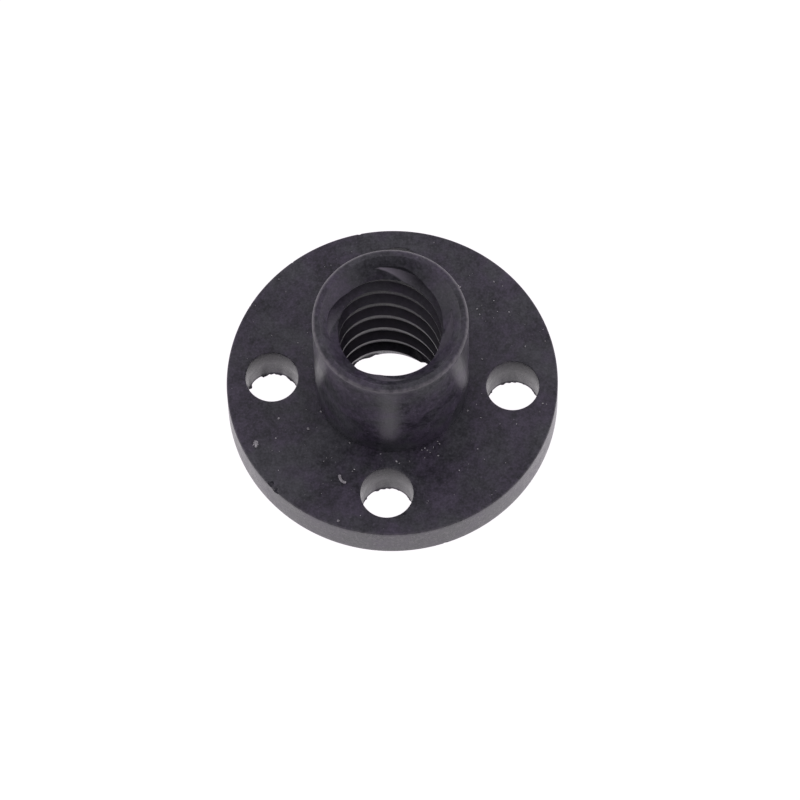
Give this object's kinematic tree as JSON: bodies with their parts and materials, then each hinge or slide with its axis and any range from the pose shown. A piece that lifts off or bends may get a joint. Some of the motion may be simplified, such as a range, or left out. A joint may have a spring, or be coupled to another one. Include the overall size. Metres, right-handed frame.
{
  "type": "flanged_lead_screw_nut",
  "caption": "Flanged plastic lead screw nut: a round bolting flange with a plain cylindrical hub and a multi-start trapezoidal thread through it, turning screw rotation into linear travel.",
  "frame": {"origin": "centre of the flange's flat seat face, on the axis of the thread", "axes": "+Z along the thread's axis from the seat face towards the hub's mouth; +X and +Y each pass through the centre of a screw hole"},
  "size_m": [0.022, 0.022, 0.0135],
  "materials": {
    "black_acetal": "turned, with a fine dry speckle"
  },
  "bodies": {
    "root": {"nut": "black_acetal"}
  },
  "joints": []
}
